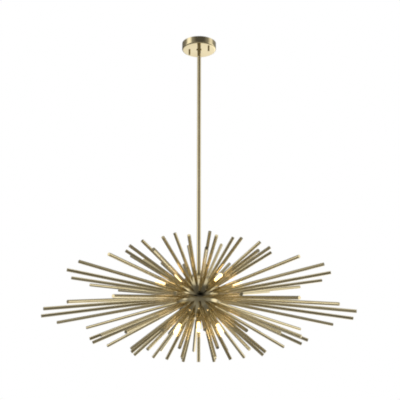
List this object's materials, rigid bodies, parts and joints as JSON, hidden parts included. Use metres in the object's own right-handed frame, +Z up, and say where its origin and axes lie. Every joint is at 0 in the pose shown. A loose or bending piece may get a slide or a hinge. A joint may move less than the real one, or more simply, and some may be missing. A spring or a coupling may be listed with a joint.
{
  "type": "chandelier",
  "caption": "Starburst chandelier: a polished brass ball on a swivelling ceiling stem, with rings of slim radiating tubes and small capsule lamps between them.",
  "frame": {"origin": "centre of the ceiling strap's screw slots, in the ceiling plane, on the stem's axis", "axes": "+Z up out of the fixture into the ceiling, +X along the ceiling strap, -Y towards the viewer"},
  "size_m": [1.2096, 1.2026, 1.332],
  "materials": {
    "polished_brass": "polished, clear lacquered, pale champagne gold",
    "zinc_steel": "zinc plated",
    "green_screw": "green earth screw",
    "connector_plastic": "moulded twist-on connector",
    "cable_sheath": "smooth cable sheath",
    "ceramic": "steatite ceramic",
    "bulb_glass": "frosted glass capsule"
  },
  "bodies": {
    "ceiling": {"box_strap": "zinc_steel", "canopy_strap": "zinc_steel", "strap_rivet": "zinc_steel", "earth_screw": "green_screw", "canopy_studs": "zinc_steel", "stud_locknuts": "zinc_steel", "canopy_shell": "polished_brass", "canopy_cap_nuts": "polished_brass", "canopy_washer": "zinc_steel", "wire_connectors": "connector_plastic"},
    "swivel": {"swivel_fork": "polished_brass", "swivel_locknut": "zinc_steel", "swivel_screws": "polished_brass"},
    "fixture": {"swivel_tongue": "polished_brass", "stem_top": "polished_brass", "stem_middle": "polished_brass", "stem_bottom": "polished_brass", "hub_collar": "polished_brass", "hub_shell_upper": "polished_brass", "hub_shell_lower": "polished_brass", "rod_pole": "polished_brass", "rods_crown": "polished_brass", "rods_upper": "polished_brass", "rods_long": "polished_brass", "rods_longest": "polished_brass", "rods_lower": "polished_brass", "rods_under": "polished_brass", "rods_base": "polished_brass", "lamp_cup_1": "polished_brass", "lamp_cup_2": "polished_brass", "lamp_cup_3": "polished_brass", "lamp_cup_4": "polished_brass", "lamp_cup_5": "polished_brass", "lamp_cup_6": "polished_brass", "lamp_cup_7": "polished_brass", "lamp_cup_8": "polished_brass", "lamp_cup_9": "polished_brass", "lamp_cup_10": "polished_brass", "lamp_cup_11": "polished_brass", "lamp_cup_12": "polished_brass", "stem_nipples": "zinc_steel", "hub_tube": "zinc_steel", "hub_locknuts": "zinc_steel", "rod_studs": "zinc_steel", "rod_nuts": "zinc_steel", "lamp_nipples": "zinc_steel", "stem_cable": "cable_sheath", "lamp_holders": "ceramic", "bulb_1": "bulb_glass", "bulb_2": "bulb_glass", "bulb_3": "bulb_glass", "bulb_4": "bulb_glass", "bulb_5": "bulb_glass", "bulb_6": "bulb_glass", "bulb_7": "bulb_glass", "bulb_8": "bulb_glass", "bulb_9": "bulb_glass", "bulb_10": "bulb_glass", "bulb_11": "bulb_glass", "bulb_12": "bulb_glass"}
  },
  "joints": [
    {"name": "swivel_turn", "type": "hinge", "parent": "ceiling", "child": "swivel", "pos_m": [0, 0, -0.044], "axis": [0, 0, 1], "range_deg": [-175, 175]},
    {"name": "swivel_tilt", "type": "hinge", "parent": "swivel", "child": "fixture", "pos_m": [0, 0, -0.044], "axis": [0, 1, 0], "range_deg": [-45, 45]}
  ]
}
